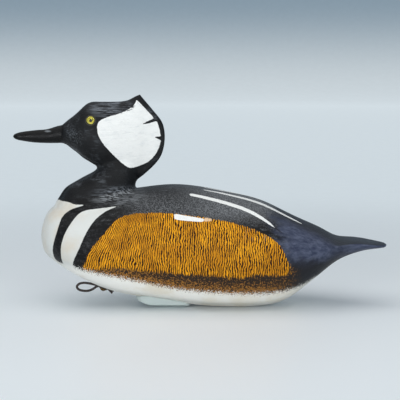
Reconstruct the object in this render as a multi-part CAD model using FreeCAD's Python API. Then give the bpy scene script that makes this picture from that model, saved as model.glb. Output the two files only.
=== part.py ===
"""A floating duck decoy, a drake hooded merganser, hollow-carved in two shells.

Millimetres, +Z up. The bill points along -X and the tail along +X. The decoy stands on its
ballast pad, and the origin is on the surface it stands on, under the middle of its length.
"""
import FreeCAD, Part
import math
import os
from FreeCAD import Rotation, Vector

# --- Body: a hull shell and a back shell that meet at a level seam -------------------------
body_length = 346.0  # breast to tail tip
body_beam = 128.0  # greatest width
body_depth = 121.7  # standing surface to the top of the back
breast_x = -159.5
seam_height = 46.0
wall = 14.0  # hollowed-out wall, all round
cavity_front = 0.11  # where the hollow starts and ends, as shares of the body's length
cavity_end = 0.76
half_points = 12  # steps round each half of a section

# --- Head, neck and bill -------------------------------------------------------------------
head_length = 100.5  # bill joint to the back of the crest
head_width = 38.0
head_height = 65.6  # throat to crown
bill_joint_back = 23.5  # bill joint behind the breast
throat_rise = 24.0  # throat above the rear end of the neck seat
seat_front_back = 13.5  # the neck seat's ends behind the breast
seat_rear_back = 95.5
seat_front_rise = 0.855  # and their heights, as shares of the depth
seat_rear_rise = 0.941
neck_width = 66.0
bill_length = 50.5
bill_width = 15.0
tenon_dia = 8.0
tenon_length = 16.0
glue_gap = 0.05  # radial, round every glued peg and tenon
end_gap = 0.5  # past the end of every peg in its hole

# --- Eyes: solid glass on a wire, bedded in putty ------------------------------------------
eye_dia = 9.0
eye_dome = 3.2
eye_proud = 2.1
iris_thick = 0.4
pupil_dia = 2.9
rim = 0.8  # putty showing round the glass
socket_depth = 8.0
stem_dia = 1.2
stem_length = 9.0
eye_back = 28.0  # eye centre behind the bill joint
eye_rise = 43.8  # eye centre above the throat
eye_lift = 16.0  # degrees that the eye looks up

# --- Fastenings ----------------------------------------------------------------------------
neck_dowel_dia = 12.0
neck_dowel_length = 42.0
neck_dowel_back = 67.5  # behind the breast
neck_dowel_seat = 10.5  # depth of the dowel in the back
neck_screw_back = 84.5
neck_screw_length = 50.0
screw_dia = 4.2
screw_head_dia = 8.0
washer_dia = 14.0
washer_thick = 1.6
spotface = 1.5  # the washer's flat bed, cut up into the hollow's ceiling
shell_dowel_dia = 6.0
shell_dowel_length = 23.0
shell_dowel_down = 9.0  # depth of a dowel in the hull
shell_dowel_ends = (0.088, 0.785)  # shares of the length, on the centreline
shell_dowel_sides = 0.49
nail_shares = (0.20, 0.40, 0.60)
nail_dia = 1.8
nail_head_dia = 2.8
nail_head_thick = 1.2
nail_length = 30.0
nail_set = 2.5  # depth of a nail's head under the putty
screw_clearance = 0.15  # radial, round a shank in its clearance hole

# --- Ballast pad ---------------------------------------------------------------------------
pad_length = 56.0
pad_width = 42.0
pad_flat_width = 24.0  # the part of its width that it stands on
pad_front = 95.0  # behind the breast
pad_corner = 12.0
pad_lift = 8.0  # height of its front lip
pad_screw_length = 16.0
pad_screw_sink = 0.3
pad_screw_cone = 2.4
pad_screw_space = 30.0

# --- Line loop: a leather thong pinned under the breast ------------------------------------
thong_dia = 2.4
loop_pin_back = 62.5  # pin behind the breast
tab_width = 5.6
tab_front = 4.2
tab_tail = 11.0
tab_lift = 0.4  # gap between the hull and the thong
pin_dia = 3.0
pin_head_dia = 6.4
pin_length = 13.0
pin_fit = 0.08  # radial running clearance of the thong on its pin
pin_washer_dia = 8.0
pin_washer_thick = 0.8
pin_washer_gap = 0.15  # over the thong, so that it can turn
loop_yaw = 10.0  # degrees that the loop lies off the centreline

# Lines of the body. Each row: share of the length behind the breast, half width as a share of
# the half beam, then bottom, height of the widest place and top as shares of the depth.
BODY_LINES = [
    (0.0040, 0.170, 0.505, 0.575, 0.655),
    (0.0120, 0.330, 0.440, 0.575, 0.735),
    (0.0260, 0.500, 0.400, 0.570, 0.795),
    (0.0560, 0.670, 0.340, 0.560, 0.848),
    (0.1000, 0.800, 0.265, 0.535, 0.880),
    (0.1550, 0.890, 0.188, 0.510, 0.908),
    (0.2250, 0.955, 0.123, 0.490, 0.942),
    (0.3100, 0.985, 0.082, 0.475, 0.976),
    (0.3850, 1.000, 0.050, 0.465, 0.992),
    (0.4700, 1.000, 0.018, 0.455, 0.968),
    (0.5600, 0.985, 0.006, 0.450, 0.920),
    (0.6400, 0.945, 0.012, 0.450, 0.859),
    (0.7000, 0.885, 0.050, 0.455, 0.779),
    (0.7600, 0.765, 0.160, 0.470, 0.700),
    (0.8150, 0.610, 0.288, 0.490, 0.630),
    (0.8600, 0.460, 0.382, 0.515, 0.568),
    (0.9000, 0.385, 0.430, 0.530, 0.555),
    (0.9400, 0.340, 0.462, 0.524, 0.540),
    (0.9700, 0.270, 0.474, 0.510, 0.526),
    (0.9900, 0.190, 0.481, 0.502, 0.516),
    (0.9980, 0.090, 0.488, 0.500, 0.509),
]
BREAST_TIP = 0.565  # heights of the two ends, as shares of the depth
TAIL_TIP = 0.500

# Lines of the head. Each row: share of the length behind the bill joint, half width, then
# bottom, widest place and top as shares of the height above the throat. The rows behind the
# crown stand a little outside the crest, which is then sawn to its own outline.
HEAD_LINES = [
    (0.000, 0.44, 0.365, 0.500, 0.668),
    (0.055, 0.60, 0.322, 0.500, 0.738),
    (0.110, 0.74, 0.258, 0.492, 0.803),
    (0.160, 0.85, 0.197, 0.482, 0.872),
    (0.210, 0.93, 0.137, 0.470, 0.945),
    (0.260, 0.98, 0.090, 0.455, 0.990),
    (0.325, 1.00, 0.030, 0.440, 1.002),
    (0.410, 0.98, -0.030, 0.425, 1.000),
    (0.500, 0.90, -0.075, 0.420, 1.002),
    (0.600, 0.76, -0.125, 0.420, 1.040),
    (0.700, 0.62, -0.180, 0.420, 1.120),
    (0.800, 0.43, -0.210, 0.415, 1.110),
    (0.900, 0.30, -0.150, 0.410, 0.990),
    (0.980, 0.21, -0.060, 0.405, 0.860),
    (1.030, 0.18, 0.000, 0.405, 0.800),
]

# The crest's sawn outline, in the same shares: over the top to the peak, then down the back.
CREST_TOP = [
    (0.400, 1.040),
    (0.510, 1.000),
    (0.575, 1.007),
    (0.635, 1.024),
    (0.695, 1.070),
    (0.756, 1.110),
]
CREST_BACK = [
    (0.756, 1.110),
    (0.805, 1.015),
    (0.860, 0.915),
    (0.915, 0.815),
    (0.968, 0.705),
    (0.998, 0.540),
    (0.995, 0.360),
    (0.955, 0.165),
    (0.885, 0.030),
    (0.800, -0.090),
    (0.700, -0.215),
]

# Level sections of the neck. Each row: rise above the throat in shares of the head's height,
# front and rear as shares of the head's length, and half width as a share of the half width.
NECK_LINES = [
    (-0.690, -0.110, 0.800, 1.30),
    (-0.590, -0.095, 0.775, 1.18),
    (-0.490, -0.070, 0.750, 1.04),
    (-0.400, -0.033, 0.730, 0.91),
    (-0.310, 0.010, 0.707, 0.79),
    (-0.210, 0.110, 0.715, 0.67),
    (-0.120, 0.215, 0.735, 0.58),
    (-0.030, 0.315, 0.745, 0.52),
    (0.060, 0.330, 0.735, 0.45),
    (0.160, 0.350, 0.700, 0.36),
]

# Lines of the bill. Each row: share of the length ahead of the joint, half width as a share of
# the half width, then bottom and top above the throat, in shares of the head's height.
BILL_LINES = [
    (0.000, 1.00, 0.375, 0.662),
    (0.090, 0.94, 0.376, 0.640),
    (0.200, 0.86, 0.374, 0.616),
    (0.310, 0.78, 0.374, 0.590),
    (0.500, 0.70, 0.379, 0.575),
    (0.700, 0.64, 0.394, 0.560),
    (0.840, 0.60, 0.412, 0.544),
    (0.930, 0.50, 0.428, 0.526),
    (0.982, 0.30, 0.450, 0.504),
]
BILL_TIP = 0.478

# The loop's route: forward under the breast, round its end and back beside itself.
LOOP_ROUTE = [
    Vector(-100.1, -1.9, 18.8),
    Vector(-105.6, -3.2, 20.7),
    Vector(-111.0, -3.8, 22.0),
    Vector(-116.5, -4.1, 22.9),
    Vector(-121.7, -4.3, 22.2),
    Vector(-124.7, -4.2, 19.0),
    Vector(-122.7, -3.2, 15.6),
    Vector(-118.1, -2.2, 14.2),
    Vector(-113.0, -1.0, 13.8),
    Vector(-108.0, 0.0, 15.7),
    Vector(-104.4, 0.4, 18.7),
    Vector(-100.8, 0.8, 19.1),
]


def smooth_half(points, start_side):
    """A smooth curve that leaves and meets the centreline square to it."""
    curve = Part.BSplineCurve()
    steps = len(points) - 1
    curve.interpolate(
        Points=points,
        Parameters=[i / steps for i in range(steps + 1)],
        InitialTangent=Vector(0, start_side, 0),
        FinalTangent=Vector(0, -start_side, 0),
    )
    return curve.toShape()


def smooth_ring(points):
    """A closed ring from the points of its +Y half, whose ends are on the centreline."""
    mirrored = [Vector(p.x, -p.y, p.z) for p in reversed(points)]
    return Part.Wire([smooth_half(points, 1), smooth_half(mirrored, -1)])


def power(value, exponent):
    return math.copysign(abs(value) ** exponent, value)


def half_turn_angles():
    return [math.pi * (i / half_points - 0.5) for i in range(half_points + 1)]


def upright_section(x, half, low, middle, high, squareness=2.0):
    """A closed section across X: half an oval above its widest place and half one below."""
    points = []
    for angle in half_turn_angles():
        side = power(max(math.cos(angle), 0), 2 / squareness)
        rise = power(math.sin(angle), 2 / squareness)
        reach = high - middle if rise > 0 else middle - low
        points.append(Vector(x, half * side, middle + reach * rise))
    return smooth_ring(points)


def level_section(z, front, rear, half):
    """A closed section across Z, an oval from front to rear."""
    points = []
    for angle in half_turn_angles():
        x = (front + rear) / 2 + (rear - front) / 2 * math.sin(angle)
        points.append(Vector(x, half * max(math.cos(angle), 0), z))
    return smooth_ring(points)


def body_row(row, inset=0.0):
    """One row of the body's lines in millimetres, moved inwards by inset."""
    along, half, low, middle, high = row
    return (
        breast_x + along * body_length,
        half * body_beam / 2 - inset,
        low * body_depth + inset,
        middle * body_depth,
        high * body_depth - inset,
    )


def body_at(share, inset=0.0):
    """The body's lines at any share of its length, between its rows."""
    for before, after in zip(BODY_LINES, BODY_LINES[1:]):
        if before[0] <= share <= after[0]:
            part = (share - before[0]) / (after[0] - before[0])
            mixed = [a + part * (b - a) for a, b in zip(before, after)]
            return body_row(mixed, inset)
    raise ValueError("no body at this share of its length")


def squareness_at(x):
    """How boxy the body is across: fuller amidships, plain oval at the ends."""
    share = (x - breast_x) / body_length
    return 2.0 + 0.25 * math.sin(math.pi * min(max(share / 0.85, 0), 1))


def body_blank():
    sections = [Part.Vertex(breast_x, 0, BREAST_TIP * body_depth)]
    for row in BODY_LINES:
        x, half, low, middle, high = body_row(row)
        sections.append(upright_section(x, half, low, middle, high, squareness_at(x)))
    sections.append(Part.Vertex(breast_x + body_length, 0, TAIL_TIP * body_depth))
    return Part.makeLoft(sections, True, False)


def body_cavity():
    first, last = cavity_front + 0.02, cavity_end - 0.02
    between = [row[0] for row in BODY_LINES if first < row[0] < last]
    sections = []
    for share in [cavity_front] + between + [cavity_end]:
        x, half, low, middle, high = body_at(share, wall)
        sections.append(upright_section(x, half, low, middle, high, squareness_at(x)))
    return Part.makeLoft(sections, True, False)


seat_front = Vector(breast_x + seat_front_back, 0, seat_front_rise * body_depth)
seat_rear = Vector(breast_x + seat_rear_back, 0, seat_rear_rise * body_depth)
bill_joint_x = breast_x + bill_joint_back
throat_z = seat_rear.z + throat_rise


def head_x(share):
    return bill_joint_x + share * head_length


def head_z(share):
    return throat_z + share * head_height


def head_blank():
    sections = []
    for share, half, low, middle, high in HEAD_LINES:
        heights = [head_z(rise) for rise in (low, middle, high)]
        sections.append(upright_section(head_x(share), half * head_width / 2, *heights))
    return Part.makeLoft(sections, True, False)


def spline_edge(outline):
    curve = Part.BSplineCurve()
    curve.interpolate([Vector(head_x(x), 0, head_z(z)) for x, z in outline])
    return curve.toShape()


def crest_outline():
    """A thick plate with the crest's side outline, open to the front over the whole head."""
    top = spline_edge(CREST_TOP)
    back = spline_edge(CREST_BACK)
    front = head_x(-0.5)
    corners = [
        Vector(head_x(CREST_BACK[-1][0]), 0, head_z(CREST_BACK[-1][1])),
        Vector(head_x(CREST_BACK[-1][0]), 0, head_z(-0.8)),
        Vector(front, 0, head_z(-0.8)),
        Vector(front, 0, head_z(1.3)),
        Vector(head_x(CREST_TOP[0][0]), 0, head_z(1.3)),
        Vector(head_x(CREST_TOP[0][0]), 0, head_z(CREST_TOP[0][1])),
    ]
    sides = [Part.LineSegment(a, b).toShape() for a, b in zip(corners, corners[1:])]
    plate = Part.Face(Part.Wire(Part.__sortEdges__([top, back] + sides)))
    plate.translate(Vector(0, -head_width, 0))
    return plate.extrude(Vector(0, 2 * head_width, 0))


def neck_blank():
    sections = []
    for rise, front, rear, half in NECK_LINES:
        size = half * neck_width / 2
        sections.append(level_section(head_z(rise), head_x(front), head_x(rear), size))
    return Part.makeLoft(sections, True, False)


def seat_z(x):
    """Height of the sloping neck seat."""
    slope = (seat_rear.z - seat_front.z) / (seat_rear.x - seat_front.x)
    return seat_front.z + slope * (x - seat_front.x)


def above_seat():
    """A block standing on the neck seat's plane, larger than the head."""
    front, rear = head_x(-1.0), head_x(2.0)
    top = head_z(2.0)
    corners = [(front, seat_z(front)), (rear, seat_z(rear)), (rear, top), (front, top)]
    outline = [Vector(x, -body_beam, z) for x, z in corners]
    face = Part.Face(Part.makePolygon(outline + outline[:1]))
    return face.extrude(Vector(0, 2 * body_beam, 0))


def below(z):
    """A block with its top at z, larger than the body."""
    side = 3 * body_length
    return Part.makeBox(side, side, side, Vector(-side / 2, -side / 2, z - side))


def rod(start, direction, length, dia, tip=0.0):
    """A round rod, with a pointed end of length tip."""
    shank = Part.makeCylinder(dia / 2, length - tip, start, direction)
    if tip:
        end = start + direction * (length - tip)
        shank = shank.fuse(Part.makeCone(dia / 2, dia / 16, tip, end, direction))
    return shank


def dome(base, direction, dia, rise):
    """A flat-backed dome standing on base."""
    radius = (rise ** 2 + (dia / 2) ** 2) / (2 * rise)
    ball = Part.makeSphere(radius, base + direction * (rise - radius))
    return ball.common(Part.makeCylinder(dia, 2 * rise, base, direction))


def round_head(base, direction, dia, rise, slot):
    """A domed screw head on base, with a slot across it."""
    across = Part.makeBox(2 * dia, slot, rise, Vector(-dia, -slot / 2, 0.55 * rise))
    turned = FreeCAD.Placement(base, Rotation(UP, direction))
    across.Placement = turned.multiply(across.Placement)
    return dome(base, direction, dia, rise).cut(across)


def skin(solid, start, direction):
    """Where a straight line from start first meets a solid."""
    line = Part.makeLine(start, start + direction * 3 * body_length)
    return min((v.Point for v in solid.common(line).Vertexes), key=lambda p: (p - start).Length)


def carve():
    """The hull shell, the back shell and the head, before anything is fitted to them."""
    carved_head = head_blank().common(crest_outline()).fuse(neck_blank())
    above = above_seat()
    body = body_blank()
    whole = body.fuse(carved_head.cut(above)).cut(carved_head.common(above))
    cavity = body_cavity()
    lower = below(seam_height)
    blanks["body"] = body
    blanks["carved_head"] = carved_head
    parts["hull_shell"] = whole.common(lower).cut(cavity)
    parts["back_shell"] = whole.cut(lower).cut(cavity)
    parts["head"] = carved_head.common(above)


def cut_from(name, *tools):
    for tool in tools:
        parts[name] = parts[name].cut(tool)


def bill():
    """The bill, with the tenon that goes into the head."""
    sections = []
    for share, half, low, high in BILL_LINES:
        x = bill_joint_x - share * bill_length
        heights = [head_z(rise) for rise in (low, 0.55 * low + 0.45 * high, high)]
        sections.append(upright_section(x, half * bill_width / 2, *heights))
    sections.append(Part.Vertex(bill_joint_x - bill_length, 0, head_z(BILL_TIP)))
    root = Vector(bill_joint_x, 0, head_z((BILL_LINES[0][2] + BILL_LINES[0][3]) / 2))
    backwards = Vector(1, 0, 0)
    tenon = rod(root, backwards, tenon_length, tenon_dia)
    parts["bill"] = Part.makeLoft(sections, True, False).fuse(tenon)
    cut_from("head", rod(root, backwards, tenon_length + end_gap, tenon_dia + 2 * glue_gap))


def eye(side_name, side):
    """One glass eye: dome, enamelled back, wire and putty, sunk in its socket."""
    lift = math.radians(eye_lift)
    outward = Vector(0, side * math.cos(lift), math.sin(lift))
    inward = outward * -1
    middle = Vector(bill_joint_x + eye_back, 0, throat_z + eye_rise)
    on_skin = skin(blanks["carved_head"], middle + outward * head_width, inward)
    flat = on_skin + outward * (eye_proud - eye_dome)
    stem_start = flat + inward * iris_thick
    pupil = rod(flat, inward, iris_thick, pupil_dia)
    stem = rod(stem_start, inward, stem_length, stem_dia)
    socket_dia = eye_dia + 2 * rim
    floor = on_skin + inward * socket_depth
    socket = rod(floor, outward, 3 * socket_depth, socket_dia)
    bedding = socket.common(blanks["carved_head"])
    room_for_glass = rod(stem_start, outward, 3 * socket_depth, eye_dia)
    parts["eye_glass_" + side_name] = dome(flat, outward, eye_dia, eye_dome)
    parts["eye_iris_" + side_name] = rod(flat, inward, iris_thick, eye_dia).cut(pupil)
    parts["eye_pupil_" + side_name] = pupil
    parts["eye_stem_" + side_name] = stem
    parts["eye_putty_" + side_name] = bedding.cut(room_for_glass).cut(stem)
    cut_from("head", socket, rod(stem_start, inward, stem_length + end_gap, stem_dia))


def neck_fastenings():
    """A dowel and a long screw hold the head to the back; the screw goes up from the hollow."""
    dowel_x = breast_x + neck_dowel_back
    base = Vector(dowel_x, 0, seat_z(dowel_x) - neck_dowel_seat)
    hole = rod(base, UP, neck_dowel_length + end_gap, neck_dowel_dia + 2 * glue_gap)
    screw_x = breast_x + neck_screw_back
    ceiling = body_at(neck_screw_back / body_length, wall)[4]
    bed = Vector(screw_x, 0, ceiling + spotface)
    bed_cut = rod(bed + DOWN * wall, UP, wall, washer_dia + 1)
    under_washer = bed + DOWN * washer_thick
    loose_dia = screw_dia + 2 * screw_clearance
    shank_hole = rod(under_washer, UP, seat_z(screw_x) + 2 - under_washer.z, loose_dia)
    screw = rod(under_washer, UP, neck_screw_length, screw_dia, 8.0)
    screw = screw.fuse(round_head(under_washer, DOWN, screw_head_dia, 3.0, 1.2))
    parts["neck_dowel"] = rod(base, UP, neck_dowel_length, neck_dowel_dia)
    parts["neck_screw"] = screw
    washer = rod(under_washer, UP, washer_thick, washer_dia)
    parts["neck_washer"] = washer.cut(rod(under_washer, UP, washer_thick, loose_dia))
    cut_from("back_shell", hole, bed_cut, shank_hole)
    cut_from("head", hole, shank_hole, screw)


def rim_point(share, side):
    """The middle of the shells' rim, on the seam."""
    x, half, low, middle, high = body_at(share)
    exponent = squareness_at(x)
    reach = middle - low if seam_height < middle else high - middle
    drop = abs(middle - seam_height) / reach
    outer = half * (1 - drop ** exponent) ** (1 / exponent)
    return Vector(x, side * (outer - wall / 2), seam_height)


def shell_dowels():
    """Pegs that line up the shells: one at each end and one in each side."""
    spots = [Vector(breast_x + share * body_length, 0, seam_height) for share in shell_dowel_ends]
    spots += [rim_point(shell_dowel_sides, side) for side in (-1, 1)]
    pegs = []
    for spot in spots:
        start = spot + DOWN * shell_dowel_down
        pegs.append(rod(start, UP, shell_dowel_length, shell_dowel_dia))
        bottom = start + DOWN * end_gap
        hole = rod(bottom, UP, shell_dowel_length + 2 * end_gap, shell_dowel_dia + 2 * glue_gap)
        cut_from("hull_shell", hole)
        cut_from("back_shell", hole)
    parts["shell_dowels"] = Part.makeCompound(pegs)


def seam_nails():
    """Nails driven up through the hull's rim, with their heads set and puttied over."""
    nails = []
    caps = []
    for share in nail_shares:
        for side in (-1, 1):
            spot = rim_point(share, side)
            below_hull = Vector(spot.x, spot.y, -body_depth)
            head_base = skin(parts["hull_shell"], below_hull, UP) + UP * nail_set
            nail = rod(head_base + UP * nail_head_thick, UP, nail_length, nail_dia, 3.0)
            nail = nail.fuse(rod(head_base, UP, nail_head_thick, nail_head_dia))
            bore = rod(head_base + DOWN * 2 * nail_set, UP, 2 * nail_set, nail_head_dia)
            nails.append(nail)
            caps.append(bore.common(parts["hull_shell"]))
            cut_from("hull_shell", bore, nail)
            cut_from("back_shell", nail)
    parts["seam_nails"] = Part.makeCompound(nails)
    parts["nail_putty"] = Part.makeCompound(caps)


def drawn(outline, along, thickness):
    """A plate whose outline is drawn square to along, centred on the plane y = 0 or x = 0."""
    face = Part.Face(Part.makePolygon(outline + outline[:1]))
    face.translate(along * (-thickness / 2))
    return face.extrude(along * thickness)


def pad_block():
    """The pad before it is fitted to the hull: flat where it stands, lifting all round."""
    front = breast_x + pad_front
    rear = front + pad_length
    top = 0.2 * body_depth
    half = pad_width / 2
    side_view = [
        Vector(front, 0, top),
        Vector(front, 0, pad_lift),
        Vector(front + 0.16 * pad_length, 0, 0.55 * pad_lift),
        Vector(front + 0.46 * pad_length, 0, 0),
        Vector(rear - 0.12 * pad_length, 0, 0),
        Vector(rear, 0, 0.45 * pad_lift),
        Vector(rear, 0, top),
    ]
    end_view = [
        Vector(0, -half, top),
        Vector(0, -half, 0.4 * pad_lift),
        Vector(0, -pad_flat_width / 2, 0),
        Vector(0, pad_flat_width / 2, 0),
        Vector(0, half, 0.4 * pad_lift),
        Vector(0, half, top),
    ]
    block = drawn(side_view, Vector(0, 1, 0), 2 * pad_width)
    block = block.common(drawn(end_view, Vector(1, 0, 0), 4 * abs(front)))
    plan = Part.makeBox(pad_length, pad_width, 2 * top, Vector(front, -half, -top / 2))
    upright = [e for e in plan.Edges if abs(e.tangentAt(e.FirstParameter).z) > 0.9]
    return block.common(plan.makeFillet(pad_corner, upright))


def ballast():
    """A cast pad fitted to the hull, held by two countersunk screws."""
    pad = pad_block().cut(blanks["body"])
    middle = breast_x + pad_front + 0.5 * pad_length
    screws = []
    for step in (-0.5, 0.5):
        below_pad = Vector(middle + step * pad_screw_space, 0, -wall)
        base = skin(pad, below_pad, UP) + UP * pad_screw_sink
        cone = Part.makeCone(screw_head_dia / 2, screw_dia / 2, pad_screw_cone, base, UP)
        screw = rod(base, UP, pad_screw_length, screw_dia, 5.0).fuse(cone)
        slot = Part.makeBox(1.2, 2 * screw_head_dia, 1.0, base + Vector(-0.6, -screw_head_dia, 0))
        screws.append(screw.cut(slot))
        entry = rod(base + DOWN * wall, UP, wall, screw_head_dia)
        pad = pad.cut(entry).cut(cone).cut(rod(base, UP, 2 * wall, screw_dia + 2 * screw_clearance))
        cut_from("hull_shell", screws[-1])
    parts["ballast_pad"] = pad
    parts["ballast_screws"] = Part.makeCompound(screws)


def pin_frame():
    """The pin's place on the hull: X forward under the breast, Z out of the hull."""
    pin_x = breast_x + loop_pin_back
    below_hull = [Vector(pin_x + step, 0, -body_depth) for step in (5, 0, -5)]
    rear, centre, front = [skin(blanks["body"], point, UP) for point in below_hull]
    forward = (front - rear).normalize()
    out = forward.cross(Vector(0, 1, 0)).normalize()
    print("pin at", centre, "pointing", out)
    square = FreeCAD.Placement(centre, Rotation(forward, Vector(0, 1, 0), out, "ZYX"))
    return square.multiply(FreeCAD.Placement(Vector(), Rotation(UP, -loop_yaw)))


def leather(outline, left, right):
    """A flat piece of thong, from its outline seen from the side."""
    face = Part.Face(Part.makePolygon([Vector(x, left, z) for x, z in outline + outline[:1]]))
    return face.extrude(Vector(0, right - left, 0))


def thong_ends():
    """The two ends of the thong, pressed together at the pin, with their loose tails behind."""
    low, high = tab_lift, tab_lift + thong_dia
    half = tab_width / 2
    neck = -0.35 * tab_tail
    drop = 1.5 * thong_dia
    clamp = leather([(tab_front, low), (tab_front, high), (neck, high), (neck, low)], -half, half)
    upper = [(neck, low), (neck, high), (-tab_tail, high), (-tab_tail, low)]
    lower = [(neck, low), (neck, high), (-0.93 * tab_tail, high + drop), (-tab_tail, low + drop)]
    ends = clamp.fuse([leather(upper, -half - 0.4, -0.3), leather(lower, 0.3, half + 0.4)])
    return ends.cut(Part.makeCylinder(pin_dia / 2 + pin_fit, 3 * thong_dia, DOWN * thong_dia))


def tube(points, dia):
    """A cord along straight runs joined by tangent arcs."""
    edges = []
    radii = []
    last = points[0]
    for before, corner, after in zip(points, points[1:], points[2:]):
        back = before - corner
        ahead = after - corner
        half_turn = (math.pi - back.getAngle(ahead)) / 2
        setback = 0.45 * min(back.Length, ahead.Length)
        radii.append(setback / math.tan(half_turn))
        start = corner + back.normalize() * setback
        end = corner + ahead.normalize() * setback
        inside = (back + ahead).normalize()
        middle = corner + inside * radii[-1] * (1 / math.cos(half_turn) - 1)
        edges.append(Part.LineSegment(last, start).toShape())
        edges.append(Part.Arc(start, middle, end).toShape())
        last = end
    edges.append(Part.LineSegment(last, points[-1]).toShape())
    path = Part.Wire(edges)
    ring = Part.Wire(Part.makeCircle(dia / 2, points[0], points[1] - points[0]))
    cord = path.makePipeShell([ring], True, False)
    section = math.pi * dia ** 2 / 4
    print("cord radii", [round(r, 1) for r in radii], "length", round(path.Length, 1))
    print("cord volume over section times length", round(cord.Volume / (section * path.Length), 4))
    return cord


def line_loop():
    """The thong's loop and ends, and the screw and washer that they swing on."""
    place = pin_frame()
    ends = thong_ends()
    washer_base = UP * (tab_lift + thong_dia + pin_washer_gap)
    head_base = washer_base + UP * pin_washer_thick
    washer = rod(washer_base, UP, pin_washer_thick, pin_washer_dia)
    washer = washer.cut(rod(washer_base, UP, pin_washer_thick, pin_dia))
    pin = rod(head_base, DOWN, pin_length, pin_dia, 4.0)
    pin = pin.fuse(round_head(head_base, UP, pin_head_dia, 2.2, 0.9))
    side = 2 * tab_tail
    behind_ends = Part.makeBox(side, side, side, Vector(tab_front - side, -side / 2, -side / 2))
    for shape in (ends, washer, pin, behind_ends):
        shape.Placement = place.multiply(shape.Placement)
    parts["thong_tab"] = ends
    parts["loop_washer"] = washer
    parts["loop_pin"] = pin
    parts["line_loop"] = tube(LOOP_ROUTE, thong_dia).cut(behind_ends)
    cut_from("hull_shell", pin)


UP = Vector(0, 0, 1)
DOWN = Vector(0, 0, -1)
blanks = {}
parts = {}

carve()
bill()
eye("left", -1)
eye("right", 1)
neck_fastenings()
shell_dowels()
seam_nails()
ballast()
line_loop()

os.makedirs("parts", exist_ok=True)
for name, shape in parts.items():
    shape.exportStep("parts/" + name + ".step")
    state = "" if shape.isValid() else "NOT VALID"
    print(name, len(shape.Solids), "solids", round(shape.Volume), "mm3", state)
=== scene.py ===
# %% [markdown]
# # A hollow-carved duck decoy, painted as a drake hooded merganser
# The decoy is carved wood under brush-painted oils, with glass eyes, a cast pad under the hull
# to keep it upright on the water, and a leather thong to tie its anchor line to. The packed
# model already has every piece in its place, in metres, with the bill along -X and the surface
# it stands on at z = 0. This lesson loads it, gives the carved pieces a hand-worked surface and
# paints them.

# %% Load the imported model
import math

import bmesh
import bpy
import numpy as np
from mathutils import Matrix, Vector


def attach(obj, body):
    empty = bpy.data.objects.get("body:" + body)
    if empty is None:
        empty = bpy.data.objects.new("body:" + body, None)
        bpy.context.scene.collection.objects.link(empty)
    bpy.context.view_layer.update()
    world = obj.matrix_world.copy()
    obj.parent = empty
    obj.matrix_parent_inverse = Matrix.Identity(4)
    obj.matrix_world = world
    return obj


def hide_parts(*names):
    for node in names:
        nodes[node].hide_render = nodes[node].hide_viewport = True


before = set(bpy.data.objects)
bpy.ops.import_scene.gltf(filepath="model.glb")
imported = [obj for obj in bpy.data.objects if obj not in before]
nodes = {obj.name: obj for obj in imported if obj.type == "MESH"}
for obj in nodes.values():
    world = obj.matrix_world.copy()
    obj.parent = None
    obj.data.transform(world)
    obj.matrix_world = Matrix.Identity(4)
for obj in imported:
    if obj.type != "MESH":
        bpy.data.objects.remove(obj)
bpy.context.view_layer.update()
MM = 0.001
print("pieces in the frame:", len(nodes))

# %% [markdown]
# ## The camera
# A long lens from the decoy's left side, a little above it, keeps the profile almost free of
# perspective, as catalogue pictures of decoys are taken. The camera comes first, because every
# later choice is judged through it.

# %% The camera
CAMERA_DISTANCE = 1.5
CAMERA_TILT = math.radians(7)
LOOK_AT = Vector((-0.0005, 0, 0.106))

camera_data = bpy.data.cameras.new("side_view")
camera_data.lens = 135
camera_data.sensor_width = 36
camera = bpy.data.objects.new("side_view", camera_data)
bpy.context.collection.objects.link(camera)
away = Vector((0, -math.cos(CAMERA_TILT), math.sin(CAMERA_TILT)))
camera.location = LOOK_AT + CAMERA_DISTANCE * away
camera.rotation_euler = away.to_track_quat("Z", "Y").to_euler()
bpy.context.scene.camera = camera
print("camera at", [round(c, 3) for c in camera.location])

# %% [markdown]
# ## The leather thong
# A short thong is folded in half and its two ends are pinned together under the breast. The
# folded part stands forward as a loop for the anchor line. It is one round cord, so it is one
# smooth curve with a round bevel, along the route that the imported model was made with. The
# order and the endpoint setting go on after the points, or the curve falls back to straight
# runs. The thickness is set as each point's radius, because a curve's box grows by it.

# %% The thong's loop
LOOP_ROUTE = [
    (-100.1, -1.9, 18.8),
    (-105.6, -3.2, 20.7),
    (-111.0, -3.8, 22.0),
    (-116.5, -4.1, 22.9),
    (-121.7, -4.3, 22.2),
    (-124.7, -4.2, 19.0),
    (-122.7, -3.2, 15.6),
    (-118.1, -2.2, 14.2),
    (-113.0, -1.0, 13.8),
    (-108.0, 0.0, 15.7),
    (-104.4, 0.4, 18.7),
    (-100.8, 0.8, 19.1),
]
THONG_DIA = 2.4 * MM

loop_curve = bpy.data.curves.new("line_loop_leather", "CURVE")
loop_curve.dimensions = "3D"
loop_curve.bevel_depth = 1.0
loop_curve.bevel_resolution = 5
loop_curve.resolution_u = 10
loop_curve.use_fill_caps = True
spline = loop_curve.splines.new("NURBS")
spline.points.add(len(LOOP_ROUTE) - 1)
for point, place in zip(spline.points, LOOP_ROUTE):
    point.co = (*[c * MM for c in place], 1)
    point.radius = THONG_DIA / 2
spline.order_u = 3
spline.use_endpoint_u = True
line_loop = bpy.data.objects.new("line_loop_leather", loop_curve)
bpy.context.collection.objects.link(line_loop)
print("loop control points:", len(spline.points))


# %% [markdown]
# ## The carved block
# The real body is two hollowed shells and a head, glued up and sanded as one piece of wood, so
# no joint shows under the paint. Three separate solids would show hard lines where they meet.
# Instead, copies of the wooden pieces and of the putty that fills their nail holes and eye
# sockets are joined, turned into one even skin of small quads by a voxel remesh, and relaxed,
# which rounds the sawn edges as sandpaper does. Only then is the skin cut apart again. The remesh
# keeps only the outer skin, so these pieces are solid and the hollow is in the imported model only.

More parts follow.
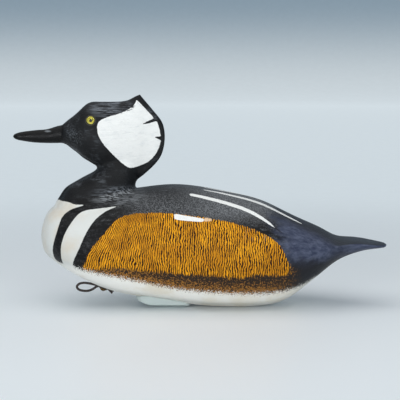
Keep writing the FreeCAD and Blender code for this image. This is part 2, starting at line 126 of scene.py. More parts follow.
# %% Copying nodes and applying modifiers
def copy_nodes(names, name):
    """One new object from copies of CAD nodes, with their loose triangles welded."""
    joined = bmesh.new()
    for node_name in names:
        joined.from_mesh(nodes[node_name].data)
    bmesh.ops.remove_doubles(joined, verts=joined.verts, dist=0.002 * MM)
    mesh = bpy.data.meshes.new(name)
    joined.to_mesh(mesh)
    joined.free()
    piece = bpy.data.objects.new(name, mesh)
    bpy.context.collection.objects.link(piece)
    return piece


def bake_modifiers(piece):
    """Replace a piece's mesh by what its modifiers make of it."""
    graph = bpy.context.evaluated_depsgraph_get()
    worked = bpy.data.meshes.new_from_object(piece.evaluated_get(graph))
    worked.name = piece.name
    piece.modifiers.clear()
    piece.data = worked
    worked.materials.clear()


def remesh_and_sand(piece, voxel, passes):
    """An even skin of quads, sanded: each pass smooths, and then swells back what that took."""
    remesh = piece.modifiers.new("skin", "REMESH")
    remesh.mode = "VOXEL"
    remesh.voxel_size = voxel
    for _ in range(passes):
        for strength in (0.62, -0.65):
            sand = piece.modifiers.new("sand", "SMOOTH")
            sand.factor = strength
            sand.iterations = 1
    bake_modifiers(piece)
    print(piece.name, "faces:", len(piece.data.polygons))


WOOD_NODES = [
    "hull_shell",
    "back_shell",
    "head",
    "bill",
    "nail_putty",
    "seam_nails",
    "shell_dowels",
    "neck_dowel",
    "eye_putty_left",
    "eye_putty_right",
]
wood = copy_nodes(WOOD_NODES, "wood")
remesh_and_sand(wood, voxel=1.25 * MM, passes=8)

# %% [markdown]
# A carver softens the corner where the neck meets the breast and the back. Smoothing only the
# points near the neck's foot does the same here, with a strength that fades away from it.

# %% Soften the neck's foot
NECK_FOOT_FRONT = Vector((-0.150, 0, 0.106))
NECK_FOOT_REAR = Vector((-0.064, 0, 0.1195))
FOOT_REACH = 9 * MM
FOOT_FADE = 6 * MM
THROAT_REACH = 14 * MM
THROAT_SIDE = 8 * MM

foot_run = NECK_FOOT_REAR - NECK_FOOT_FRONT
foot_normal = foot_run.cross(Vector((0, 1, 0))).normalized()
places = np.empty(len(wood.data.vertices) * 3)
wood.data.vertices.foreach_get("co", places)
places = places.reshape(-1, 3)
off_plane = np.abs((places - np.array(NECK_FOOT_FRONT)) @ np.array(foot_normal))
near = np.clip(1.2 - off_plane / FOOT_REACH, 0, 1)
near *= np.clip((NECK_FOOT_REAR.x + 0.012 - places[:, 0]) / FOOT_FADE, 0, 1)
near *= np.clip((places[:, 0] - NECK_FOOT_FRONT.x + 0.004) / FOOT_FADE, 0, 1)
throat = np.array([-0.101, 0.1385])
nape = np.array([-0.060, 0.123])
side_view = places[:, [0, 2]]
jaw = nape - throat
share = np.clip(((side_view - throat) @ jaw) / (jaw @ jaw), 0, 1)
from_jaw = np.linalg.norm(side_view - throat - share[:, None] * jaw, axis=1)
near_jaw = np.clip(1.2 - from_jaw / THROAT_REACH, 0, 1)
near_jaw *= np.clip(np.abs(places[:, 1]) / THROAT_SIDE, 0, 1)
near = np.maximum(near, near_jaw)
foot_group = wood.vertex_groups.new(name="foot")
for level in range(1, 6):
    members = np.flatnonzero(np.round(near * 5) == level)
    foot_group.add([int(i) for i in members], level / 5, "REPLACE")
soften = wood.modifiers.new("soften", "SMOOTH")
soften.factor = 0.5
soften.iterations = 30
soften.vertex_group = "foot"
bake_modifiers(wood)
print("points at the neck's foot:", int((near > 0.1).sum()))


# %% [markdown]
# The skin is cut in four: the hull below the glue seam, the back between the seam and the
# neck's foot, the head with its neck, and the bill. A bisect keeps one side of a plane, and its
# open rim is closed with a flat face. The outer rim is marked sharp, so the flat cap doesn't
# bend the shading of the carved surface beside it and the joint stays invisible.

# %% Cut the skin into hull, back, head and bill
SEAM_HEIGHT = 46 * MM
BILL_JOINT = -136 * MM


def cut_piece(source, name, planes):
    """The part of source on the inner side of every (point, outward normal)."""
    part = bmesh.new()
    part.from_mesh(source.data)
    for point, outward in planes:
        everything = list(part.verts) + list(part.edges) + list(part.faces)
        cut = bmesh.ops.bisect_plane(
            part,
            geom=everything,
            dist=0.001 * MM,
            plane_co=point,
            plane_no=outward,
            clear_outer=True,
        )
        rim = [e for e in cut["geom_cut"] if isinstance(e, bmesh.types.BMEdge)]
        if not rim:
            continue
        cap = bmesh.ops.triangle_fill(part, edges=rim, use_beauty=True, normal=outward)
        for face in part.faces:
            face.smooth = True
        for face in cap["geom"]:
            if isinstance(face, bmesh.types.BMFace):
                face.smooth = False
        for edge in rim:
            if edge.is_valid:
                edge.smooth = False
    mesh = bpy.data.meshes.new(name)
    part.to_mesh(mesh)
    part.free()
    piece = bpy.data.objects.new(name, mesh)
    bpy.context.collection.objects.link(piece)
    print(name, "triangles:", sum(len(p.vertices) - 2 for p in mesh.polygons))
    return piece


seam_point = Vector((0, 0, SEAM_HEIGHT))
UP = Vector((0, 0, 1))
hull = cut_piece(wood, "hull_carving", [(seam_point, UP)])
back = cut_piece(wood, "back_carving", [(seam_point, -UP), (NECK_FOOT_FRONT, foot_normal)])
bill_joint = Vector((BILL_JOINT, 0, 0))
AHEAD = Vector((-1, 0, 0))
head = cut_piece(wood, "head_carving", [(NECK_FOOT_FRONT, -foot_normal), (bill_joint, AHEAD)])
bill = cut_piece(wood, "bill_carving", [(bill_joint, -AHEAD), (NECK_FOOT_FRONT, -foot_normal)])
bpy.data.objects.remove(wood)

# %% [markdown]
# ## The pad and the thong's ends
# The cast pad had soft edges before it was painted, and leather has no sharp ones. Both get the
# same treatment as the block, with smaller voxels because they are smaller.

# %% The ballast pad and the thong's ends
pad = copy_nodes(["ballast_pad"], "ballast_casting")
remesh_and_sand(pad, voxel=0.8 * MM, passes=10)
thong_ends = copy_nodes(["thong_tab"], "thong_ends_leather")
remesh_and_sand(thong_ends, voxel=0.28 * MM, passes=4)

# %% Attach each piece to its body and hide the nodes it stands in for
for piece, body, slot_name, stands_for in (
    (hull, "decoy", "hull_paint", ["hull_shell", "nail_putty"]),
    (back, "decoy", "back_paint", ["back_shell"]),
    (head, "decoy", "head_paint", ["head"]),
    (bill, "decoy", "bill_paint", ["bill"]),
    (pad, "decoy", "lead", ["ballast_pad"]),
    (thong_ends, "thong", "thong_leather", ["thong_tab"]),
    (line_loop, "thong", "thong_leather", ["line_loop"]),
):
    for polygon in getattr(piece.data, "polygons", []):
        if piece in (pad, thong_ends):
            polygon.use_smooth = True
    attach(piece, body)
    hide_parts(*stands_for)

# %% [markdown]
# ## Where each colour goes
# A decoy painter pencils the pattern on the wood before painting it. Here the pencil lines are
# short outlines on the decoy's side, in millimetres along it and up, the same on both sides.
# Each point of the skin stores how far it is inside each outline, in metres. The paints read
# those distances, so that each border can be crisp, brushed or stippled.

# %% Distance to an outline
def smooth_outline(points, steps=5):
    """A closed outline through the points, rounded between them."""
    points = np.array(points, float)
    turns = []
    for i in range(len(points)):
        a, b, c, d = (points[(i + k) % len(points)] for k in (-1, 0, 1, 2))
        for t in np.linspace(0, 1, steps, endpoint=False):
            square = (2 * a - 5 * b + 4 * c - d) * t**2
            cube = (3 * b - a - 3 * c + d) * t**3
            turns.append(0.5 * (2 * b + (c - a) * t + square + cube))
    return np.array(turns)


def line_distance(flat, line, closed):
    """Distance from flat points to a line, and whether each is inside it if it is closed."""
    ends = np.roll(line, -1, axis=0) if closed else line[1:]
    starts = line if closed else line[:-1]
    nearest = np.full(len(flat), np.inf)
    inside = np.zeros(len(flat), bool)
    for a, b in zip(starts, ends):
        run = b - a
        share = np.clip(((flat - a) @ run) / max(run @ run, 1e-9), 0, 1)
        nearest = np.minimum(nearest, np.linalg.norm(flat - a - share[:, None] * run, axis=1))
        if closed and a[1] != b[1]:
            crosses = (a[1] > flat[:, 1]) != (b[1] > flat[:, 1])
            inside ^= crosses & (flat[:, 0] < a[0] + (flat[:, 1] - a[1]) / (b[1] - a[1]) * run[0])
    return nearest, inside


def inside_outline(flat, points, steps=5):
    """Signed distance, positive inside."""
    nearest, inside = line_distance(flat, smooth_outline(points, steps), True)
    return np.where(inside, nearest, -nearest)


def inside_stripe(flat, points, widths):
    """Signed distance to a brush stroke whose half width changes from its start to its end."""
    line = np.array(points, float)
    best = np.full(len(flat), -np.inf)
    spread = np.linspace(0, 1, len(line))
    half = np.interp(spread, np.linspace(0, 1, len(widths)), widths)
    for a, b, wide_a, wide_b in zip(line[:-1], line[1:], half[:-1], half[1:]):
        run = b - a
        share = np.clip(((flat - a) @ run) / (run @ run), 0, 1)
        gap = np.linalg.norm(flat - a - share[:, None] * run, axis=1)
        best = np.maximum(best, wide_a + share * (wide_b - wide_a) - gap)
    return best


def store(piece, name, values):
    """Keep one number per point of a piece, for its paint to read."""
    attribute = piece.data.attributes.new(name, "FLOAT", "POINT")
    attribute.data.foreach_set("value", (values * MM).astype(np.float32))


def skin_points(piece):
    """A piece's points in millimetres: along, out from the middle, up."""
    places = np.empty(len(piece.data.vertices) * 3)
    piece.data.vertices.foreach_get("co", places)
    along, across, up = places.reshape(-1, 3).T / MM
    return along, np.abs(across), up


# %% The outlines, in millimetres: along and up
FRONT_WHITE = [
    (-114, 105.2), (-123, 102), (-130, 98.5), (-135.5, 93), (-138.5, 85), (-141.5, 75),
    (-144, 66), (-144.6, 58), (-143, 51), (-138, 47.5), (-134, 46), (-134, 30), (-175, 30),
    (-180, 105), (-148, 108), (-139, 107.3), (-130, 106.8), (-122, 105.2),
]
WHITE_BAND = [
    (-77, 105.4), (-84, 104.2), (-94, 102.8), (-106, 101.3), (-113, 100), (-118, 97.5),
    (-123, 92.5), (-128, 85.5), (-132, 78), (-134.7, 70), (-136, 62), (-136, 54), (-134.6, 47),
    (-133, 38), (-124.6, 38), (-124.6, 47), (-123, 53.5), (-120.5, 59), (-117.5, 65),
    (-115, 71), (-112, 77.5), (-109, 83), (-105, 89), (-101, 93.5), (-96, 97.5), (-90, 101),
    (-84, 103.5),
]
BELLY_TOP = [
    (-180, 46), (-135, 46.3), (-124.6, 46.4), (-114, 43.5), (-100, 41), (-87, 39), (-68, 35.5),
    (-49, 31.5), (-30, 27.5), (-10, 24.5), (9, 23), (29, 21.5), (48, 20.5), (68, 21), (83, 22.5),
    (93, 24.5), (103, 27.5), (113, 32),
]
FLANK = [
    (-114, 43.5), (-112.4, 51), (-110, 57.5), (-106.5, 64), (-102, 70), (-97, 75.8),
    (-92, 81.5), (-87.5, 87), (-82.5, 92), (-77, 95.2), (-70, 97.5), (-62, 98.8), (-50, 99.5),
    (-36, 99.6), (-24, 98.8), (-12, 97.3), (0, 95.8), (14, 93.5), (28, 91), (40, 88), (50, 84.7),
    (58, 81.3), (65, 77.8), (71, 73.8), (76, 69.2), (80, 63.5), (83, 57.5), (85.5, 51),
    (87, 45), (86, 40.5), (80, 38.8), (57, 40), (40, 37.5), (28, 37.5), (14, 39), (-10, 41),
    (-30, 42.3), (-50, 43.5), (-68, 45), (-84, 46.2), (-98, 44),
]
WING_PATCH = [
    (-24.5, 98.6), (-12, 96.8), (-2, 95.2), (3, 94), (2.6, 91.8), (-4, 91.8), (-14, 92.6),
    (-24, 93.8), (-25.2, 96),
]
PATCH_BLOB = [(5, 93.4), (9.5, 93.2)]
NEAR_STRIPE = [
    (-8.5, 28.5), (3, 30), (14, 31.5), (27, 33.5), (40, 36), (51, 39), (60, 42), (68, 44.8),
    (72, 46.2),
]
RIDGE_STRIPE = [
    (4, 9.5), (20, 10.3), (39, 12.5), (58, 14.8), (71, 16), (84, 17), (95, 18), (100, 19),
]
NEAR_TRAIL = [(72, 46.2), (76, 47.2), (79, 47.8)]
RIDGE_TRAIL = [(100, 19), (106, 21.5), (112, 25)]
CREST_WHITE = [
    (-101.6, 179.5), (-101.2, 183), (-99, 186.4), (-94, 189), (-88.5, 191), (-82, 192.6),
    (-76, 194.8), (-70.5, 197.5), (-66.5, 200.7), (-64.2, 203.8), (-63.2, 206.3), (-60, 203.6),
    (-55, 198.2), (-50, 192.8), (-46.2, 188.6), (-45.3, 188.4), (-50.5, 186.1), (-57.8, 182.3),
    (-50, 183.6), (-43.6, 185.2), (-42.2, 182.5), (-40.5, 176.8), (-39.5, 171.4), (-39.6, 170.2),
    (-45.4, 169.4), (-39.7, 166.4), (-39.8, 164.2), (-40.8, 160), (-42.8, 155.5), (-45.5, 151.3),
    (-50, 146.5), (-55, 143.3), (-61, 141), (-66, 139.6), (-70.5, 139.9), (-75, 142.5),
    (-80, 146.5), (-85, 151.5), (-90, 157), (-95, 163), (-99.4, 170), (-101, 175),
]

NEAR_HALF_WIDTHS = [2.3, 2.5, 2.6, 2.6, 2.4, 2.2, 1.8, 1.1, 0.3]
RIDGE_HALF_WIDTHS = [1.2, 2.8, 3.5, 3.7, 3.3, 2.6, 1.7, 0.6]

# %% Store the pattern on the wood
FAR_OFF = 30

for piece in (hull, back, head, pad):
    along, across, up = skin_points(piece)
    side = np.column_stack([along, up])
    above = np.column_stack([along, across])
    breast = np.maximum(inside_outline(side, FRONT_WHITE), inside_outline(side, WHITE_BAND))
    belly_edge = np.interp(along, *np.array(BELLY_TOP).T)
    marks = inside_stripe(above, NEAR_STRIPE, NEAR_HALF_WIDTHS)
    marks = np.maximum(marks, inside_stripe(above, RIDGE_STRIPE, RIDGE_HALF_WIDTHS))
    marks = np.where(up > 70, marks, -FAR_OFF)
    marks = np.maximum(marks, inside_outline(side, WING_PATCH, 3))
    pale_blob = inside_stripe(side, PATCH_BLOB, [1.6, 1.2])
    trail = inside_stripe(above, NEAR_TRAIL, [0.7, 0.4])
    trail = np.maximum(trail, inside_stripe(above, RIDGE_TRAIL, [0.6, 0.3]))
    flank = inside_outline(side, FLANK)
    front_edge = np.interp(up, [40, 52, 64, 76, 88, 95, 99], [-114, -112, -106, -97, -87, -77, -62])
    lean = 0.85 * np.clip((-38 - along) / 62, 0, 1) ** 1.3
    comb = along - lean * (front_edge + 112)
    facing = np.empty(len(along) * 3)
    piece.data.vertices.foreach_get("normal", facing)
    store(piece, "top", facing[2::3] / MM)
    store(piece, "casting", np.full(len(along), 1 / MM if piece == pad else 0.0))
    store(piece, "breast", breast)
    store(piece, "belly", np.clip(belly_edge - up, -60, 60))
    store(piece, "marks", np.clip(marks, -FAR_OFF, FAR_OFF))
    store(piece, "pale_blob", np.clip(pale_blob, -FAR_OFF, FAR_OFF))
    store(piece, "trail", np.clip(np.where(up > 60, trail, -FAR_OFF), -FAR_OFF, FAR_OFF))
    store(piece, "flank", flank)
    store(piece, "comb", comb)
    crest = inside_outline(side, CREST_WHITE, 3) if piece == head else np.full(len(along), -30.0)
    store(piece, "crest", crest)
print("pattern stored as:", [a.name for a in back.data.attributes if a.domain == "POINT"])


# %% [markdown]
# ## Mixing paints
# Every finish below is built from the same few nodes, so two helpers place and join them. One
# makes a material with its main shader, and the other adds a node whose inputs are either
# plain values or the outputs of nodes made before it.

# %% Helpers for materials
def new_paint(name, roughness=0.5, **sockets):
    """A material, its node tree and its main shader. Values go straight on the shader."""
    material = bpy.data.materials.new(name)
    material.use_nodes = True
    tree = material.node_tree
    shader = tree.nodes["Principled BSDF"]
    shader.inputs["Roughness"].default_value = roughness
    for socket, value in sockets.items():
        shader.inputs[socket.replace("_", " ")].default_value = value
    return material, tree, shader


def add(tree, kind, inputs=None, **settings):
    """A node with its settings, and its inputs linked or set."""
    made = tree.nodes.new("ShaderNode" + kind)
    for setting, value in settings.items():
        setattr(made, setting, value)
    for key, value in (inputs or {}).items():
        if isinstance(value, bpy.types.NodeSocket):
            tree.links.new(value, made.inputs[key])
        else:
            made.inputs[key].default_value = value
    return made


def place(tree, stretch=(1, 1, 1)):
    """Object coordinates, squeezed along each axis where a pattern is to run long."""
    coords = add(tree, "TexCoord").outputs["Object"]
    if stretch == (1, 1, 1):
        return coords
    return add(tree, "Mapping", {"Vector": coords, "Scale": stretch}).outputs["Vector"]


def noise(tree, size, stretch=(1, 1, 1), detail=4.0, roughness=0.6):
    """Noise whose features are about size metres across."""
    inputs = {"Vector": place(tree, stretch), "Scale": 1 / size}
    inputs.update({"Detail": detail, "Roughness": roughness})
    return add(tree, "TexNoise", inputs).outputs["Fac"]


def math_node(tree, operation, a, b=0.0, c=0.0):
    return add(tree, "Math", {0: a, 1: b, 2: c}, operation=operation).outputs[0]


def times(tree, a, b):
    return math_node(tree, "MULTIPLY", a, b)


def ramp(tree, value, low, high, from_value=0.0, to_value=1.0, soft=True):
    """A number that goes from from_value at low to to_value at high."""
    inputs = {"Value": value, "From Min": low, "From Max": high}
    inputs.update({"To Min": from_value, "To Max": to_value})
    made = add(tree, "MapRange", inputs, interpolation_type="SMOOTHSTEP" if soft else "LINEAR")
    return made.outputs["Result"]


def blend(tree, amount, first, second):
    """From one colour to another."""
    made = add(tree, "Mix", data_type="RGBA")
    for index, value in ((0, amount), (6, first), (7, second)):
        socket = made.inputs[index]
        if isinstance(value, bpy.types.NodeSocket):
            tree.links.new(value, socket)
        else:
            socket.default_value = value
    return made.outputs[2]


def shade(red, green, blue):
    """A colour as a painter reads it off a screen, from 0 to 255, as light."""
    light = []
    for c in (red, green, blue):
        c /= 255
        light.append(c / 12.92 if c <= 0.04045 else ((c + 0.055) / 1.055) ** 2.4)
    return (*light, 1)


def stored(tree, name):
    return add(tree, "Attribute", attribute_name=name, attribute_type="GEOMETRY").outputs["Fac"]


def bump(tree, shader, height, depth, strength=1.0):
    """Relief of the given depth in metres under a shader."""
    made = add(tree, "Bump", {"Height": height, "Distance": depth, "Strength": strength})
    tree.links.new(made.outputs["Normal"], shader.inputs["Normal"])


def zone(tree, along, up, reach_along, reach_up):
    """From 1 at a place on the decoy's side to 0 at its reach."""
    centre = (-along / reach_along, 0, -up / reach_up)
    squeeze = (1 / reach_along, 0, 1 / reach_up)
    coords = add(tree, "TexCoord").outputs["Object"]
    moved = add(tree, "Mapping", {"Vector": coords, "Location": centre, "Scale": squeeze})
    away_from = add(tree, "VectorMath", {0: moved.outputs["Vector"]}, operation="LENGTH")
    return ramp(tree, away_from.outputs["Value"], 1.0, 0.25)


def wobbled(tree, distance, size, amount, stretch=(1, 1, 1)):
    """A distance made uneven by noise, as a hand makes a border."""
    uneven = math_node(tree, "SUBTRACT", noise(tree, size, stretch), 0.5)
    return math_node(tree, "MULTIPLY_ADD", uneven, amount, distance)


# %% [markdown]
# ## The body's paint
# One paint covers the back, the hull and the pad, because the pattern runs over all of them.
# It is built up in layers, as a painter works: the black back, the slate rump, the stippled
# lower edge, the ochre flank with the dark lines combed over it, then the whites.

# %% The body's paint
BLACK_WARM = shade(15, 15, 16)
# A grey used for worn specks on the black paint, and for the painted sheen on the back.
WEAR_AND_SHEEN_GREY = shade(122, 124, 127)
# The grey of the painted sheen at the neck's foot.
COLLAR_SHEEN_GREY = shade(130, 133, 136)
SLATE = shade(50, 56, 76)
SLATE_LIGHT = shade(82, 88, 107)
CHARCOAL = shade(32, 33, 38)
TAIL_GREY = shade(44, 47, 50)
OCHRE = shade(230, 157, 22)
OCHRE_DEEP = shade(196, 128, 14)
RIDGE_GREY = shade(36, 37, 41)
TRAIL_GREY = shade(38, 38, 42)
FRINGE_DARK = shade(42, 34, 28)
FRINGE_LIGHT = shade(160, 108, 44)
FEATHER_GREY = shade(120, 112, 108)
PALE_OCHRE = shade(238, 206, 170)
COMB_PITCH = 2.2 * MM
COMB_LINE = shade(62, 30, 4)
COMB_BLACK = shade(20, 14, 10)
WHITE = shade(240, 238, 232)
WHITE_CREAM = shade(228, 221, 206)
PAD_SHADE_WHITE = shade(196, 206, 203)
BREAST_SHADE_WHITE = shade(212, 213, 209)
BREAST_SHADE_CREAM = shade(210, 203, 190)
WHITE_CLEAN = shade(234, 234, 231)


def body_paint():
    material, tree, shader = new_paint("body_paint", Specular_IOR_Level=0.14)
    split = add(tree, "SeparateXYZ", {0: place(tree)})
    along, up = split.outputs[0], split.outputs[2]

    out = math_node(tree, "ABSOLUTE", split.outputs[1])
    flank = stored(tree, "flank")

    grain = noise(tree, 0.0032, (0.3, 1, 1), detail=6, roughness=0.7)
    specks = noise(tree, 0.0013, detail=2, roughness=0.8)
    wear_and_sheen = times(tree, ramp(tree, grain, 0.42, 0.75), ramp(tree, specks, 0.35, 0.7))
    wear_and_sheen = times(tree, wear_and_sheen, ramp(tree, along, -0.110, -0.040, 0.30, 1.0))
    above_flank = ramp(tree, flank, -0.030, -0.006)
    shoulder = times(tree, above_flank, ramp(tree, up, 0.082, 0.096))
    shoulder = times(tree, shoulder, ramp(tree, along, -0.085, -0.050))
    canvas = ramp(tree, specks, 0.46, 0.60, 0.10, 0.62)
    wear_and_sheen = math_node(tree, "MAXIMUM", wear_and_sheen, times(tree, shoulder, canvas))
    # Painted sheen: the top of the back, behind the neck to the middle, is stippled lighter grey as
    # a painted highlight.
    back_sheen = times(tree, ramp(tree, up, 0.084, 0.102), ramp(tree, along, -0.060, 0.030))
    stippled_sheen = ramp(tree, specks, 0.42, 0.60, 0.25, 0.95)
    wear_and_sheen = math_node(tree, "MAXIMUM", wear_and_sheen, times(tree, back_sheen, stippled_sheen))
    colour = blend(tree, wear_and_sheen, BLACK_WARM, WEAR_AND_SHEEN_GREY)
    # Painted sheen: a grey highlight laid on in dragged streaks round the neck's foot.
    collar_sheen = zone(tree, -0.080, 0.113, 0.036, 0.011)
    drag = noise(tree, 0.0013, (0.07, 1, 1), detail=4, roughness=0.7)
    dragged_sheen = times(tree, collar_sheen, ramp(tree, drag, 0.44, 0.60))
    colour = blend(tree, dragged_sheen, colour, COLLAR_SHEEN_GREY)

    brushed = noise(tree, 0.0045, (0.35, 1, 1), detail=6, roughness=0.7)
    slate = blend(tree, ramp(tree, brushed, 0.35, 0.68), SLATE, SLATE_LIGHT)
    low = wobbled(tree, up, 0.012, 0.020)
    slate = blend(tree, ramp(tree, low, 0.060, 0.044), slate, CHARCOAL)
    ridge = ramp(tree, wobbled(tree, out, 0.008, 0.010), 0.040, 0.020)
    ridge = times(tree, ridge, ramp(tree, along, 0.160, 0.120))
    slate = blend(tree, times(tree, ridge, 0.88), slate, RIDGE_GREY)
    # The tail's upward faces are painted charcoal grey: partly the tail's own darker paint, partly
    # a painted sheen on the faces turned up to the light.
    tail_top = ramp(tree, wobbled(tree, stored(tree, "top"), 0.004, 0.25), 0.60, 0.80)
    tail_top = times(tree, tail_top, ramp(tree, along, 0.115, 0.140, 0.0, 0.8))
    slate = blend(tree, tail_top, slate, TAIL_GREY)
    tilted = math_node(tree, "MULTIPLY_ADD", up, 0.22, along)
    behind = wobbled(tree, tilted, 0.006, 0.034, (0.45, 1, 1))
    colour = blend(tree, ramp(tree, behind, 0.082, 0.104), colour, slate)

    trail = ramp(tree, stored(tree, "trail"), -0.0003, 0.0003)
    colour = blend(tree, trail, colour, TRAIL_GREY)

    skirt = ramp(tree, wobbled(tree, up, 0.006, 0.010), 0.052, 0.041)
    dots = noise(tree, 0.0015, (1, 1, 0.8), detail=3, roughness=0.85)
    depth_in = times(tree, stored(tree, "belly"), -1.0)
    paler = ramp(tree, wobbled(tree, depth_in, 0.006, 0.008), 0.016, 0.001)
    ahead = ramp(tree, wobbled(tree, along, 0.012, 0.02), -0.030, -0.085)
    paler = math_node(tree, "MAXIMUM", paler, times(tree, ahead, 0.8))
    astern = ramp(tree, along, 0.060, 0.095)
    paler = times(tree, paler, math_node(tree, "MULTIPLY_ADD", astern, -0.8, 1.0))
    dot_level = ramp(tree, paler, 0.0, 1.0, 0.60, 0.485, soft=False)
    dotted = ramp(tree, math_node(tree, "SUBTRACT", dots, dot_level), -0.03, 0.04)
    fringe = blend(tree, dotted, FRINGE_DARK, FRINGE_LIGHT)
    on_side = ramp(tree, along, -0.116, -0.112)
    before_rump = ramp(tree, wobbled(tree, along, 0.008, 0.02), 0.104, 0.080)
    on_side = times(tree, on_side, before_rump)
    skirt = times(tree, skirt, on_side)
    colour = blend(tree, skirt, colour, fringe)

    tone = noise(tree, 0.020, detail=3)
    ochre = blend(tree, ramp(tree, tone, 0.35, 0.65), OCHRE, OCHRE_DEEP)
    wander = math_node(tree, "SUBTRACT", noise(tree, 0.011, (1, 1, 0.8), detail=3), 0.5)
    ripple = math_node(tree, "SUBTRACT", noise(tree, 0.0028, (1, 1, 0.45), detail=2), 0.5)
    comb = math_node(tree, "MULTIPLY_ADD", wander, 0.0065, stored(tree, "comb"))
    comb = math_node(tree, "MULTIPLY_ADD", ripple, 0.0020, comb)
    wave = math_node(tree, "SINE", times(tree, comb, 2 * math.pi / COMB_PITCH))
    broken = noise(tree, 0.0055, (1, 1, 0.6), detail=3)
    level = ramp(tree, broken, 0.30, 0.70, 0.70, -0.45, soft=False)
    line = ramp(tree, math_node(tree, "SUBTRACT", wave, level), -0.15, 0.25)
    lines = blend(tree, noise(tree, 0.007), COMB_LINE, COMB_BLACK)
    combed = blend(tree, line, ochre, lines)
    feathered = times(tree, ramp(tree, along, 0.036, 0.058), ramp(tree, up, 0.070, 0.080))
    barbs = ramp(tree, noise(tree, 0.005, (1, 1, 0.4)), 0.48, 0.62)
    feathered = times(tree, feathered, barbs)
    combed = blend(tree, times(tree, feathered, 0.55), combed, FEATHER_GREY)
    edge = wobbled(tree, flank, 0.0025, 0.0035)
    ragged = wobbled(tree, flank, 0.0022, 0.012, (1, 1, 0.4))
    crisp = ramp(tree, edge, -0.0002, 0.0004)
    loose = ramp(tree, ragged, -0.0012, 0.0022)
    is_low = ramp(tree, up, 0.056, 0.048)
    is_high = math_node(tree, "SUBTRACT", 1.0, is_low)
    low_edge, high_edge = times(tree, is_low, loose), times(tree, is_high, crisp)
    on_flank = math_node(tree, "ADD", low_edge, high_edge)
    colour = blend(tree, on_flank, colour, combed)

    aged = noise(tree, 0.030, detail=5)
    white = blend(tree, ramp(tree, aged, 0.42, 0.72), WHITE, WHITE_CREAM)
    stipple = wobbled(tree, stored(tree, "belly"), 0.0012, 0.022)
    on_belly = ramp(tree, stipple, -0.0012, 0.0028)
    # Painted shade: the pad under the hull gets a darker, greyer white than the belly.
    white = blend(tree, stored(tree, "casting"), white, PAD_SHADE_WHITE)
    colour = blend(tree, on_belly, colour, white)
    on_breast = ramp(tree, wobbled(tree, stored(tree, "breast"), 0.004, 0.0010), -0.00025, 0.00025)
    # Painted shade: the breast and the white band get a darker copy of the belly's white, which
    # fades into the belly's white low down.
    shaded_breast_white = blend(tree, ramp(tree, aged, 0.42, 0.72), BREAST_SHADE_WHITE, BREAST_SHADE_CREAM)
    shaded_breast_white = blend(tree, ramp(tree, up, 0.050, 0.040), shaded_breast_white, white)
    colour = blend(tree, on_breast, colour, shaded_breast_white)
    # A small pale pinkish blob beside the white wing patch.
    on_pale_blob = ramp(tree, wobbled(tree, stored(tree, "pale_blob"), 0.003, 0.0015), -0.0006, 0.0006)
    colour = blend(tree, times(tree, on_pale_blob, 0.75), colour, PALE_OCHRE)
    on_marks = ramp(tree, wobbled(tree, stored(tree, "marks"), 0.003, 0.0008), -0.00025, 0.00025)
    colour = blend(tree, on_marks, colour, WHITE_CLEAN)
    tree.links.new(colour, shader.inputs["Base Color"])

    brush = noise(tree, 0.0022, (0.22, 1, 1), detail=5, roughness=0.65)
    relief = math_node(tree, "MULTIPLY_ADD", times(tree, line, on_flank), 0.35, brush)
    bump(tree, shader, relief, 0.00035)
    gloss = ramp(tree, brush, 0.3, 0.7, 0.38, 0.55, soft=False)
    gloss = math_node(tree, "MULTIPLY_ADD", on_flank, 0.12, gloss)
    tree.links.new(gloss, shader.inputs["Roughness"])
    return material


body_finish = body_paint()
for piece in (hull, back, pad):
    piece.data.materials.append(body_finish)

# %% [markdown]
# ## The hood and the crest
# The head is black, with a painted sheen on the crown and neck, a grey highlight laid on in
# brush streaks, and a white fan on the crest. The brush marks follow the form: along the crown and
# around the neck they run level, so that noise is stretched along the decoy.

# %% The head's paint
EYE_RIM = 5.2 * MM
eye_corners = [Vector(corner) for corner in nodes["eye_glass_left"].bound_box]
eye_middle = sum(eye_corners, Vector()) / len(eye_corners)


def eye_distance(tree):
    """How far a point is from the eyes' middle, seen from the side."""
    flat = add(tree, "Mapping", {"Vector": place(tree), "Scale": (1, 0, 1)}).outputs["Vector"]
    centre = (eye_middle.x, 0, eye_middle.z)
    return add(tree, "VectorMath", {0: flat, 1: centre}, operation="DISTANCE").outputs["Value"]


